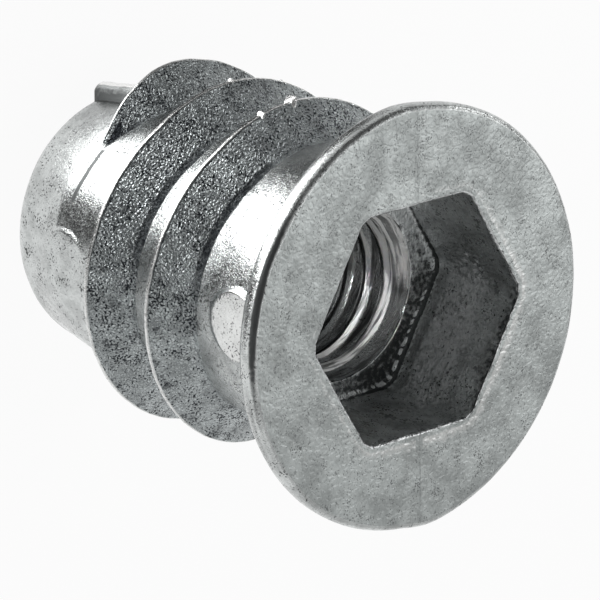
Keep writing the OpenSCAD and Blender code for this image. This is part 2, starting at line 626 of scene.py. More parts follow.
@dataclass
class TappedBore:
    """The bore with its fine machine thread, countersunk at both ends.

    Depths are counted from the top of the bore, at the socket's floor.
    """

    socket: Socket
    crest_radius: float = 3.38
    root_radius: float = 4.0
    columns: int = 120
    top_height: float = 15.66
    turns: float = 11.25
    pitch: float = 1.25
    start_angle: float = -117.5
    hand: Hand = Hand.LEFT
    nose_countersink: float = 0.3
    # How the thread's depth dies away at its start
    least_depth: float = 0.1
    fade_start: float = 0.5
    fade_length: float = 0.9
    # Painted highlights on the crests, on the ring at the foot of the countersink, and on the countersink
    bright_reach: Pair = (0.75, 3.75)
    ring_depth: float = 0.7
    ring_reach: Pair = (0.128, 0.288)
    mouth_depth: float = 0.6
    mouth_highlight: Callable[[float], float] = toward(-35.0, -0.3, 1.6, 3.0)

    @property
    def screw(self) -> Screw:
        """The path of the thread from the nose end up."""
        return Screw(self.hand, self.pitch, self.start_angle, self.bottom_height)

    @property
    def bottom_height(self) -> float:
        """Height at which the thread's lowest turn ends."""
        return self.top_height - self.pitch * (self.turns + 1)

    def cone(self, height: float) -> float:
        """Returns the radius of the countersinks at a height."""
        lower = self.crest_radius + max(0.0, self.nose_countersink - (height - self.bottom_height))
        return max(self.socket.entry_radius - (self.top_height - height), lower)

    def section(self) -> list[Triple]:
        """The thread's section over one pitch, from root to root.

        Returns:
            Height over the lower root, radius, and wear_and_light of each point: painted shade in the
            groove, a painted highlight on the crest's upper edge.
        """
        root, crest = self.root_radius, self.crest_radius
        middle = blend(root, crest, 0.5)
        # Painted shade in the groove and under the crest, painted highlight along the crest's upper edge
        shares = ((0.0, root, -1.0), (0.06, root, -1.0), (0.12, root - 0.05, -1.0), (0.24, middle, -1.0),
                  (0.38, crest + 0.03, -1.0), (0.42, crest, -0.4), (0.58, crest, 0.7),
                  (0.66, crest + 0.05, 1.6), (0.80, middle, 0.0), (0.92, root - 0.05, -1.0),
                  (1.0, root, -1.0))
        return [(share * self.pitch, radius, wear_and_light) for share, radius, wear_and_light in shares]

    def lay(self, bm: bmesh.types.BMesh) -> None:
        """Lays the thread as one strip that climbs up the bore.

        Args:
            bm: the mesh of the casting.
        """
        spots = self.section()

        def place(column: int, row: int) -> tuple[Vector, float]:
            """Places one point of the strip.

            Args:
                column: its place along the strip.
                row: its place across the strip.

            Returns:
                The point and its wear_and_light.
            """
            degrees = (column / self.columns - 1) * FULL_TURN
            along, radius, wear_and_light = spots[row]
            height = clamp(self.screw.height(degrees) + along, self.bottom_height, self.top_height)
            deep = self.top_height - height
            share = clamp(blend(self.least_depth, 1.0, (deep - self.fade_start) / self.fade_length),
                          self.least_depth)
            radius = self.crest_radius + (radius - self.crest_radius) * share
            if height in (self.bottom_height, self.top_height):
                radius = 0.0
            angle = self.screw.angle(degrees)
            # The painted highlights on the crests fade deeper down the bore; the ring and the countersink
            # take their own
            if wear_and_light > 0:
                wear_and_light *= fade(deep, self.bright_reach)
            light_mark = fade(abs(deep - self.ring_depth), self.ring_reach)
            if height > self.top_height - self.mouth_depth:
                light_mark = max(light_mark, self.mouth_highlight(angle))
            return on_circle(angle, max(radius, self.cone(height)), height), max(wear_and_light, light_mark)

        count = round((self.turns + 2) * self.columns)
        lay_sheet(bm, count, len(spots) - 1, place, lambda *_: Skin.TAPPED)


@dataclass
class Casting:
    """The whole insert: its zones, the marks of its casting, and its mesh.

    Each zone's share by direction says which share of its rows' wear, grime and painted light each direction
    takes.
    """

    core: Core = field(default_factory=Core)
    socket: Socket = field(default_factory=Socket)
    column_gap: float = 1.5
    # Middle, reach and gap of the stretches with closer columns, in degrees
    fine_stretches: tuple[Triple, ...] = ((8.0, 6.0, 0.5), (0.0, 3.0, 0.5), (180.0, 3.0, 0.5),
                                          (90.0, 18.0, 0.75))
    # Share of the painted shade on the face's edge in each direction, strongest toward 72 degrees
    rim_shade_share: Callable[[float], float] = toward(72.0, 0.5, 2.4, 22.0)
    face_wear: Callable[[float], float] = toward(225.0, 0.7, 1.1)
    # Share of the socket's painted shade, wear and painted light in each direction, most toward 240 degrees
    wall_mark_share: Callable[[float], float] = toward(240.0, 0.45, 1.0, 3.0)
    # Share of the floor's painted shade and the lip's painted highlight in each direction, none toward 40
    # degrees
    floor_shade_share: Callable[[float], float] = toward(220.0, 0.0, 1.2)
    # Rows of the face, worn more and more from one of them on
    face_steps: int = 14
    face_worn_from: int = 9
    face_worn_gain: float = 0.2
    # Share of the way and wear_and_light of the face's last rows, at the socket's edge: a worn row, then
    # painted shade where the edge begins
    face_edge_rows: tuple[Pair, Pair] = ((0.97, 0.4), (1.0, -0.8))
    floor_steps: int = 6
    # Painted shade over the socket's floor
    floor_shade: float = 0.85
    # Width and height of the lip between the socket's floor and the bore, and its painted highlight
    lip_width: float = 0.03
    lip_height: float = 0.01
    lip_highlight: float = 0.5
    # Distance past the bore's entrance within which an open ring belongs to the bore
    ring_reach: float = 0.5

    def __post_init__(self) -> None:
        """Joins the zones that share sizes."""
        self.flange = Flange(self.core)
        self.thread = WoodThread(self.core)
        self.bore = TappedBore(self.socket)

    @property
    def floor(self) -> float:
        """Height of the socket's floor."""
        return self.flange.top - self.socket.depth

    @property
    def lip(self) -> float:
        """Height of the floor's inmost ring."""
        return self.bore.top_height + self.lip_height

    def columns(self) -> list[float]:
        """The columns of one turn, closer together where the casting has fine marks.

        Returns:
            Degrees turned from the start of the wood thread, in order, from 0 to just under 360.
        """
        count = round(FULL_TURN / self.column_gap)
        angles = {round(step * self.column_gap, ANGLE_DIGITS) for step in range(count)}
        for middle, reach, gap in self.fine_stretches:
            steps = round(2 * reach / gap)
            angles |= {round((middle - reach + step * gap) % FULL_TURN, ANGLE_DIGITS)
                       for step in range(steps + 1)}
        start = self.thread.screw.start_angle
        return sorted(round((start - angle) % FULL_TURN, ANGLE_DIGITS) for angle in angles)

    def lay_rings(self, bm: bmesh.types.BMesh, turned: list[float], rows: list[Row],
                  point: Callable[[float, Row], Vector],
                  wear_and_light_weight: Callable[[float], float] = lambda _: 1.0) -> None:
        """Lays closed rows round the part.

        Args:
            bm: the mesh of the casting.
            turned: the columns of one turn.
            rows: the rows of the zone.
            point: gives a row's point in a direction.
            wear_and_light_weight: gives the share of the rows' wear, grime and painted light that a
                direction takes.
        """
        start = self.thread.screw.start_angle

        def place(column: int, row: int) -> tuple[Vector, float]:
            """Returns a point of the zone and its wear_and_light."""
            angle = start - turned[column % len(turned)]
            return point(angle, rows[row]), rows[row].wear_and_light * wear_and_light_weight(angle)

        lay_sheet(bm, len(turned), len(rows) - 1, place, lambda _, row: rows[row].skin)

    def build(self) -> bmesh.types.BMesh:
        """Lays and welds all the zones.

        Returns:
            The closed mesh of the casting, in millimetres.
        """
        bm = bmesh.new()
        bm.verts.layers.float.new(WEAR_AND_LIGHT_LAYER)
        turned = self.columns()
        self.lay_rings(bm, turned, self.core.rows(self.thread.screw.base_height),
                       lambda angle, row: on_circle(angle, row.radius, row.height))
        self.thread.lay(bm, turned)
        rim_rows = self.flange.rows(self.thread.top_height)
        self.lay_rings(bm, turned, rim_rows, self.flange.point, self.rim_shade_share)
        self.lay_rings(bm, turned, self.face_rows(), self.face_point, self.face_wear)
        self.lay_rings(bm, turned, self.socket.rows(self.flange.top), self.wall_point, self.wall_mark_share)
        self.lay_rings(bm, turned, self.floor_rows(), self.floor_point, self.floor_shade_share)
        self.bore.lay(bm)
        self.bridge(bm, self.lip, self.bore.top_height)
        self.bridge(bm, self.core.mouth_depth, self.bore.bottom_height)
        bmesh.ops.remove_doubles(bm, verts=bm.verts, dist=WELD)
        # Welding can leave a tiny gap where two zones meet
        for face in bmesh.ops.holes_fill(bm, edges=bm.edges, sides=4)["faces"]:
            face.smooth = True
        bmesh.ops.recalc_face_normals(bm, faces=bm.faces)
        return bm

    def face_rows(self) -> list[Row]:
        """Rows of the flange's face.

        Returns:
            The rows, whose radius is a share of the way from the rim to the socket.
        """
        top = self.flange.top
        rows = []
        for step in range(self.face_steps):
            wear_and_light = max(0.0, (step - self.face_worn_from) * self.face_worn_gain)
            rows.append(Row(step / self.face_steps, top, wear_and_light, Skin.FACE))
        return rows + [Row(share, top, wear_and_light, Skin.FACE) for share, wear_and_light in self.face_edge_rows]

    def face_point(self, angle: float, row: Row) -> Vector:
        """Places a point of the face, between the rim's edge and the socket's outline.

        Args:
            angle: the direction, in degrees.
            row: the row.

        Returns:
            The point.
        """
        edge = self.flange.point(angle, Row(self.flange.radius - self.flange.face_round[0], row.height))
        inner = self.socket.outline(angle) + self.socket.edge_round
        return on_circle(angle, blend(edge.xy.length, inner, row.radius), row.height)

    def wall_point(self, angle: float, row: Row) -> Vector:
        """Returns a point of the socket's wall."""
        return on_circle(angle, self.socket.outline(angle) + row.radius, row.height)

    def floor_rows(self) -> list[Row]:
        """Returns the rows of the socket's floor, whose radius is a share of the way to the bore."""
        # The floor takes painted shade, and the lip round the bore a painted highlight
        rows = [Row(step / self.floor_steps, self.floor, -self.floor_shade, Skin.SOCKET)
                for step in range(self.floor_steps + 1)]
        return rows + [Row(1.0, self.lip, self.lip_highlight, Skin.SOCKET)]

    def floor_point(self, angle: float, row: Row) -> Vector:
        """Places a point of the floor, between the foot of the wall and the bore.

        Args:
            angle: the direction, in degrees.
            row: the row.

        Returns:
            The point.
        """
        outer = self.socket.outline(angle) - self.socket.draft - self.socket.floor_round
        inner = self.socket.entry_radius + (self.lip_width if row.height == self.floor else 0.0)
        return on_circle(angle, blend(outer, inner, row.radius), row.height)

    def bridge(self, bm: bmesh.types.BMesh, one: float, other: float) -> None:
        """Joins two open rings of the bore that differ in their columns.

        Args:
            bm: the mesh of the casting.
            one: height of a zone's ring.
            other: height of the thread's ring.
        """
        bmesh.ops.remove_doubles(bm, verts=bm.verts, dist=WELD)
        reach = self.socket.entry_radius + self.ring_reach
        rings = [edge for edge in bm.edges if edge.is_boundary
                 and all(min(abs(vert.co.z - one), abs(vert.co.z - other)) < WELD for vert in edge.verts)
                 and edge.verts[0].co.xy.length < reach]
        for face in bmesh.ops.bridge_loops(bm, edges=rings)["faces"]:
            face.material_index = Skin.TAPPED.value
            face.smooth = True

    def mark(self, bm: bmesh.types.BMesh) -> None:
        """Presses the casting's marks and its unevenness into the welded skin.

        Args:
            bm: the mesh of the casting.
        """
        noise.seed_set(NOISE_SEED)
        wear_and_light_layer = bm.verts.layers.float[WEAR_AND_LIGHT_LAYER]
        uneven = Unevenness()
        marks = [NECK_PIN, NOSE_PIN, GateStub(self.core), PartingLine(self.flange)]
        for vert in bm.verts:
            spot, wear_and_light = vert.co.copy(), vert[wear_and_light_layer]
            for mark in marks:
                spot, wear_and_light = mark.moved(spot, wear_and_light)
            vert.co, vert[wear_and_light_layer] = uneven.moved(spot, wear_and_light), wear_and_light
        for bead in BEADS:
            bead.lay(bm)

    def make_piece(self, effects: "SkinEffects") -> bpy.types.Object:
        """Makes the finished piece, in metres.

        Args:
            effects: the node groups that its materials share.

        Returns:
            The piece, which rides on the part and stands for its solid.
        """
        bm = self.build()
        self.mark(bm)
        bmesh.ops.scale(bm, vec=(METRES,) * 3, verts=bm.verts)
        mesh = bpy.data.meshes.new("insert_casting")
        bm.to_mesh(mesh)
        bm.free()
        for skin in Skin:
            mesh.materials.append(FINISHES[skin].material(effects))
        piece = bpy.data.objects.new("insert_casting", mesh)
        bpy.context.scene.collection.objects.link(piece)
        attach(piece, "root")
        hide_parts("threaded_insert")
        return piece


@dataclass(frozen=True)
class PinMark:
    """A flat round mark of an ejector pin, on the +Y side."""

    height: float
    reach: float
    radius: float = 1.6
    edge: float = 0.1

    def moved(self, spot: Vector, wear_and_light: float) -> tuple[Vector, float]:
        """Presses the mark into the skin.

        Args:
            spot: a point of the skin.
            wear_and_light: its wear, grime and painted light.

        Returns:
            The point and its wear_and_light with the mark.
        """
        away = math.hypot(spot.x, spot.z - self.height)
        on_skin = abs(spot.xy.length - self.reach) < SKIN_REACH
        if spot.y < 0 or away > self.radius + self.edge or not on_skin:
            return spot, wear_and_light
        share = 1 - ease((away - self.radius) / self.edge + 0.5)
        return Vector((spot.x, blend(spot.y, self.reach, share), spot.z)), wear_and_light


NECK_PIN = PinMark(16.2, 6.24)
NOSE_PIN = PinMark(4.6, 6.18, 1.5)


@dataclass(frozen=True)
class GateStub:
    """The stub left where the metal ran in, a round-ended rib that follows the nose."""

    core: Core
    angle: float = 8.0
    radius: float = 0.45
    stand: float = 0.2
    bottom: float = 0.95
    top: float = 5.0
    # Width and darkness of the painted shade round its foot, painted shade of its flanks and painted
    # highlight along its back
    shade_width: float = 0.16
    darkening: float = 1.2
    flank_shade: float = -0.7
    back_highlight: float = 1.2
    # Shares of the radius up to which the back takes its painted highlight, wholly and at all
    back_reach: Pair = (3 / 17, 13 / 17)

    def moved(self, spot: Vector, wear_and_light: float) -> tuple[Vector, float]:
        """Stands the stub on the skin.

        Args:
            spot: a point of the skin.
            wear_and_light: its wear, grime and painted light.

        Returns:
            The point and its wear_and_light, with the stub's painted shade and highlight.
        """
        angle = math.degrees(math.atan2(spot.y, spot.x))
        out = spot.xy.length
        aside = out * math.radians(degrees_between(angle, self.angle))
        away = math.hypot(aside, min(0.0, spot.z - self.bottom))
        level = self.core.radius_at(spot.z)
        if spot.z > self.top or away >= self.radius + self.shade_width or abs(out - level) > SKIN_REACH:
            return spot, wear_and_light
        # Painted shade round the stub's foot
        if away >= self.radius:
            return spot, -self.darkening
        stand = self.core.radius_at(max(spot.z, self.bottom)) + self.stand
        stand += math.sqrt(self.radius ** 2 - away ** 2)
        if stand <= out:
            return spot, wear_and_light
        # Painted shade on the flanks, a painted highlight along the back
        light_mark = blend(self.flank_shade, self.back_highlight, ease(fade(away / self.radius, self.back_reach)))
        return Vector((spot.x * stand / out, spot.y * stand / out, spot.z)), light_mark


@dataclass(frozen=True)
class PartingLine:
    """The faint dirty line across the flange's face where the mould halves meet."""

    flange: Flange
    reach: float = 0.15
    stand: float = 0.02
    darkening: float = 0.65

    def moved(self, spot: Vector, wear_and_light: float) -> tuple[Vector, float]:
        """Draws the line over the skin.

        Args:
            spot: a point of the skin.
            wear_and_light: its wear, grime and painted light.

        Returns:
            The point and its wear_and_light with the line.
        """
        if abs(spot.y) > self.reach or spot.z < self.flange.top - WELD:
            return spot, wear_and_light
        share = 1 - abs(spot.y) / self.reach
        return spot + Vector((0.0, 0.0, self.stand * share)), min(wear_and_light, -self.darkening * share)


@dataclass(frozen=True)
class FlashBead:
    """A bead of metal left on the crest of the wood thread where the mould halves meet.

    It is a lumpy ball, leaned along the thread and flattened toward its bright facet.
    """

    angle: float
    height: float
    length: float
    width: float
    crest_radius: float = 7.74
    lean: float = 35.0
    lumps: float = 0.35
    lump_scale: float = 2.5
    facet: Triple = (0.503, 0.852, 0.145)
    flatness: float = 0.7

    def lay(self, bm: bmesh.types.BMesh) -> None:
        """Adds the bead to the casting's mesh.

        Args:
            bm: the mesh of the casting.
        """
        centre = on_circle(self.angle, self.crest_radius, self.height)
        wear_and_light_layer = bm.verts.layers.float[WEAR_AND_LIGHT_LAYER]
        fresh = bmesh.ops.create_icosphere(bm, subdivisions=3, radius=0.5)["verts"]
        turn = (Matrix.Rotation(math.radians(self.angle), 3, "Z")
                @ Matrix.Rotation(math.radians(self.lean), 3, "X"))
        facing = Vector(self.facet)
        for vert in fresh:
            lumpy = vert.co * (1 + self.lumps * noise.noise(vert.co * self.lump_scale + centre))
            leaning = turn @ Vector((lumpy.x * self.width, lumpy.y * self.length, lumpy.z * self.width))
            vert.co = centre + leaning - facing * (leaning.dot(facing) * self.flatness)
            # Each bead takes a full painted highlight
            vert[wear_and_light_layer] = 1.0
        for face in {face for vert in fresh for face in vert.link_faces}:
            face.material_index, face.smooth = Skin.PLATED.value, True


BEADS = (FlashBead(0.0, 8.6, 0.36, 0.36), FlashBead(0.5, 12.72, 0.8, 0.62),
         FlashBead(13.5, 12.84, 0.5, 0.42), FlashBead(-24.0, 8.3, 0.24, 0.2))


@dataclass(frozen=True)
class Unevenness:
    """The slight waviness of a cast and barrel-plated skin."""

    swell: float = 0.018
    swell_size: float = 1.7
    knocks: float = 0.035
    knock_size: float = 0.6

    def moved(self, spot: Vector, wear_and_light: float) -> Vector:
        """Makes the skin a little uneven, and more so where its wear, grime and painted light are strong.

        Args:
            spot: a point of the skin.
            wear_and_light: its wear, grime and painted light.

        Returns:
            The point, not below the nose end.
        """
        swell = noise.noise_vector(spot / self.swell_size) * self.swell
        knocks = noise.noise_vector(spot / self.knock_size) * (self.knocks * abs(wear_and_light))
        moved = spot + swell + knocks
        moved.z = max(0.0, moved.z)
        return moved


class Graph:
    """A node tree, with short ways to add nodes and join them."""

    def __init__(self, tree: bpy.types.NodeTree) -> None:
        """Clears the tree and keeps it."""
        self.tree = tree
        tree.nodes.clear()

    def add(self, kind: str, inputs: dict[str, object] | None = None, **settings: object) -> bpy.types.Node:
        """Adds one node.

        Args:
            kind: the node's class, such as ShaderNodeBump.
            inputs: a value or a socket for each named or numbered input.
            settings: the node's own settings.

        Returns:
            The node.
        """
        node = self.tree.nodes.new(kind)
        for name, value in settings.items():
            setattr(node, name, value)
        for name, value in (inputs or {}).items():
            if isinstance(value, bpy.types.NodeSocket):
                self.tree.links.new(value, node.inputs[name])
            else:
                node.inputs[name].default_value = value
        return node

    def math(self, operation: str, *values: object) -> bpy.types.NodeSocket:
        """Returns the result of one Math node."""
        return self.add("ShaderNodeMath", dict(enumerate(values)), operation=operation).outputs[0]

    def span(self, value: object, low: float, high: float, to_low: float = 0.0,
             to_high: float = 1.0) -> bpy.types.NodeSocket:
        """Returns a value carried from one range to another, with soft ends."""
        node = self.add("ShaderNodeMapRange", {"Value": value, "From Min": low, "From Max": high,
                                               "To Min": to_low, "To Max": to_high},
                        interpolation_type="SMOOTHSTEP")
        return node.outputs["Result"]

    def mix(self, share: object, one: object, other: object) -> bpy.types.NodeSocket:
        """Returns the mix of two colours."""
        node = self.add("ShaderNodeMix", {0: share, 6: one, 7: other}, data_type="RGBA")
        return node.outputs[2]

    def noise(self, vector: object, size: object, detail: float = 2.0,
              roughness: float = 0.5) -> bpy.types.NodeSocket:
        """Returns the strength of a noise whose lumps have a size in millimetres."""
        scale = self.math("DIVIDE", 1 / METRES, size)
        return self.add("ShaderNodeTexNoise", {"Vector": vector, "Scale": scale, "Detail": detail,
                                               "Roughness": roughness}).outputs[0]

    def vector(self, operation: str, **inputs: object) -> bpy.types.Node:
        """Returns one Vector Math node, with its inputs named one, other and scale."""
        places = {"one": 0, "other": 1, "scale": "Scale"}
        return self.add("ShaderNodeVectorMath", {places[name]: value for name, value in inputs.items()},
                        operation=operation)

    def put_out(self, node: bpy.types.Node, **results: bpy.types.NodeSocket) -> None:
        """Joins results to a closing node's inputs of the same names."""
        for name, result in results.items():
            self.tree.links.new(result, node.inputs[name])


def rgba(level: Triple) -> tuple[float, float, float, float]:
    """Returns a colour with full cover."""
    return (*level, 1.0)


class SkinEffects:
    """The node groups that all finishes of the casting share.

    Each fill method adds the nodes between a group's input node, given, and its output node, out.
    """

    def __init__(self) -> None:
        """Builds each group once."""
        self.grain = self.group("cast_grain", {"Size": 0.15}, ("Height", "Pits"), self.fill_grain)
        self.stain = self.group("dark_stain", {"Size": 0.5, "Amount": 0.3}, ("Mask",), self.fill_stain)
        self.speckle = self.group("fine_speckle", {"Size": 0.1, "Amount": 0.3}, ("Mask",), self.fill_speckle)
        self.scratch = self.group("hairlines", {"Size": 1.0}, ("Mask",), self.fill_scratch)
        self.turning = self.group("thread_streaks", {"Size": 1.0}, ("Mask",), self.fill_turning)
        self.wear_and_light = self.group("wear_and_light_marks", {"Break": 0.3}, ("Bright", "Grime"), self.fill_wear_and_light)
        self.cloud = self.group("cloudy_plating", {"Size": 1.2}, ("Share",), self.fill_cloud)
        self.gate_side_shade = self.group("painted_shade_and_hammered_side", {}, ("Mask", "Hammered"), self.fill_gate_side_shade)
        self.pin = self.group("pin_outline", {"Height": 10.0, "Radius": 1.5}, ("Inside", "Edge"),
                              self.fill_pin)

    def group(self, name: str, inputs: dict[str, float], outputs: tuple[str, ...],
              fill: Callable[[Graph, bpy.types.Node, bpy.types.Node], None]) -> bpy.types.NodeTree:
        """Makes a node group.

        Args:
            name: the group's name.
            inputs: its number inputs, besides the Vector that each group has.
            outputs: its number outputs.
            fill: adds the nodes between the group's input and output nodes.

        Returns:
            The group's tree.
        """
        tree = bpy.data.node_groups.new(name, "ShaderNodeTree")
        tree.interface.new_socket("Vector", in_out="INPUT", socket_type="NodeSocketVector")
        for label, value in inputs.items():
            socket = tree.interface.new_socket(label, in_out="INPUT", socket_type="NodeSocketFloat")
            socket.default_value = value
        for label in outputs:
            tree.interface.new_socket(label, in_out="OUTPUT", socket_type="NodeSocketFloat")
        graph = Graph(tree)
        fill(graph, graph.add("NodeGroupInput"), graph.add("NodeGroupOutput"))
        return tree

    def fill_grain(self, graph: Graph, given: bpy.types.Node, out: bpy.types.Node) -> None:
        """Fills the group of the lumpy cast skin: small lumps with dark crevices between them.

        Args:
            graph: the group's tree.
            given: its input node.
            out: its output node.
        """
        vector, size = given.outputs["Vector"], given.outputs["Size"]
        scale = graph.math("DIVIDE", 1 / METRES, size)
        wander = graph.add("ShaderNodeTexNoise", {"Vector": vector, "Scale": scale}).outputs["Color"]
        shift = graph.vector("SCALE", one=wander, scale=graph.math("MULTIPLY", size, METRES)).outputs[0]
        bent = graph.vector("ADD", one=vector, other=shift).outputs[0]
        crevice = graph.add("ShaderNodeTexVoronoi", {"Vector": bent, "Scale": scale},
                            feature="DISTANCE_TO_EDGE").outputs["Distance"]
        lumps = graph.noise(vector, graph.math("MULTIPLY", size, 0.6), 1.0)
        height = graph.math("ADD", graph.span(crevice, 0.0, 0.35), graph.math("MULTIPLY", lumps, 0.5))
        graph.put_out(out, Height=height, Pits=graph.span(crevice, 0.12, 0.0))

    def fill_stain(self, graph: Graph, given: bpy.types.Node, out: bpy.types.Node) -> None:
        """Fills the group of the cloudy dark stains, broken up by a finer noise.

        Args:
            graph: the group's tree.
            given: its input node.
            out: its output node.
        """
        vector, size = given.outputs["Vector"], given.outputs["Size"]
        cloud = graph.noise(vector, size, 3.0, 0.65)
        broken = graph.noise(vector, graph.math("MULTIPLY", size, 0.2))
        both = graph.math("ADD", graph.math("MULTIPLY", cloud, 0.7), graph.math("MULTIPLY", broken, 0.3))
        limit = graph.math("SUBTRACT", 0.72, graph.math("MULTIPLY", given.outputs["Amount"], 0.4))
        graph.put_out(out, Mask=graph.span(graph.math("SUBTRACT", both, limit), -0.03, 0.06))

    def fill_speckle(self, graph: Graph, given: bpy.types.Node, out: bpy.types.Node) -> None:
        """Fills the group of the small dark specks, which crowd together in places.

        Args:
            graph: the group's tree.
            given: its input node.
            out: its output node.
        """
        vector, size = given.outputs["Vector"], given.outputs["Size"]
        specks = graph.noise(vector, size, 1.0)
        crowd = graph.math("MULTIPLY", graph.noise(vector, graph.math("MULTIPLY", size, 9.0)), 0.5)
        limit = graph.math("SUBTRACT", 1.03, graph.math("MULTIPLY", given.outputs["Amount"], 0.4))
        over = graph.math("SUBTRACT", graph.math("ADD", specks, crowd), limit)
        graph.put_out(out, Mask=graph.span(over, -0.01, 0.05))

    def fill_scratch(self, graph: Graph, given: bpy.types.Node, out: bpy.types.Node) -> None:
        """Fills the group of the thin scratches, which run along two slanted directions.

        Args:
            graph: the group's tree.
            given: its input node.
            out: its output node.
        """
        masks = []
        for slant, stretch in ((0.6, 14.0), (-0.9, 20.0)):
            turned = graph.add("ShaderNodeMapping", {"Vector": given.outputs["Vector"],
                                                     "Rotation": (0.0, 0.0, slant),
                                                     "Scale": (1.0, stretch, 1.0)})
            lines = graph.noise(turned.outputs[0], given.outputs["Size"], 0.0)
            masks.append(graph.span(lines, 0.74, 0.78))
        graph.put_out(out, Mask=graph.math("MAXIMUM", *masks))

    def fill_turning(self, graph: Graph, given: bpy.types.Node, out: bpy.types.Node) -> None:
        """Fills the group of the dark streaks that run round a tapped surface.

        Args:
            graph: the group's tree.
            given: its input node.
            out: its output node.
        """
        drawn = graph.add("ShaderNodeMapping", {"Vector": given.outputs["Vector"], "Scale": (0.5, 0.5, 9.0)})
        streaks = graph.noise(drawn.outputs[0], given.outputs["Size"], 3.0, 0.6)
        graph.put_out(out, Mask=graph.span(streaks, 0.42, 0.62))

    def fill_wear_and_light(self, graph: Graph, given: bpy.types.Node, out: bpy.types.Node) -> None:
        """Fills the group that turns the mesh's wear_and_light into broken wear and painted highlights, and
        into grime and painted shade.

        Args:
            graph: the group's tree.
            given: its input node.
            out: its output node.
        """
        wear_and_light = graph.add("ShaderNodeAttribute", attribute_name=WEAR_AND_LIGHT_LAYER).outputs["Fac"]
        breaks = graph.noise(given.outputs["Vector"], 0.2)
        taken = graph.math("MULTIPLY", breaks, given.outputs["Break"])
        bright = graph.math("SUBTRACT", wear_and_light, taken)
        darkening = graph.math("SUBTRACT", graph.math("MULTIPLY", wear_and_light, -1.0), taken)
        graph.put_out(out, Bright=graph.span(bright, 0.2, 0.6), Grime=graph.span(darkening, 0.1, 0.6))

    def fill_cloud(self, graph: Graph, given: bpy.types.Node, out: bpy.types.Node) -> None:
        """Fills the group of the broad light and dull patches of the plating."""
        cloud = graph.noise(given.outputs["Vector"], given.outputs["Size"], 5.0, 0.7)
        graph.put_out(out, Share=graph.span(cloud, 0.36, 0.62))

    def fill_gate_side_shade(self, graph: Graph, given: bpy.types.Node, out: bpy.types.Node) -> None:
        """Fills the group of the painted shade and the hammered skin on the side toward the gate, with
        broken borders.

        Args:
            graph: the group's tree.
            given: its input node.
            out: its output node.
        """
        level = graph.vector("MULTIPLY", one=given.outputs["Vector"], other=(1.0, 1.0, 0.0)).outputs[0]
        way = graph.vector("NORMALIZE", one=level).outputs[0]
        facing = graph.vector("DOT_PRODUCT", one=way, other=(0.985, 0.17, 0.0)).outputs["Value"]
        breaks = graph.math("MULTIPLY", graph.noise(given.outputs["Vector"], 0.18, 3.0, 0.7), 0.3)
        broken = graph.math("ADD", facing, graph.math("SUBTRACT", breaks, 0.15))
        front = graph.vector("DOT_PRODUCT", one=way, other=(0.96, 0.28, 0.0)).outputs["Value"]
        graph.put_out(out, Mask=graph.span(broken, 0.84, 0.98),
                      Hammered=graph.span(graph.math("ADD", front, breaks), 0.2, 0.75))

    def fill_pin(self, graph: Graph, given: bpy.types.Node, out: bpy.types.Node) -> None:
        """Fills the group that finds the disc of a pin mark on the +Y side, and its outline.

        Args:
            graph: the group's tree.
            given: its input node.
            out: its output node.
        """
        parts = graph.add("ShaderNodeSeparateXYZ", {0: given.outputs["Vector"]}).outputs
        along = graph.math("SUBTRACT", graph.math("DIVIDE", parts["Z"], METRES), given.outputs["Height"])
        across = graph.math("DIVIDE", parts["X"], METRES)
        squares = graph.math("ADD", graph.math("MULTIPLY", along, along),
                             graph.math("MULTIPLY", across, across))
        inward = graph.math("SUBTRACT", given.outputs["Radius"], graph.math("SQRT", squares))
        near_side = graph.math("GREATER_THAN", parts["Y"], 0.0)
        inside = graph.math("MULTIPLY", graph.span(inward, -0.04, 0.04), near_side)
        edge = graph.math("MULTIPLY", graph.span(graph.math("ABSOLUTE", inward), 0.06, 0.02), near_side)
        graph.put_out(out, Inside=inside, Edge=edge)


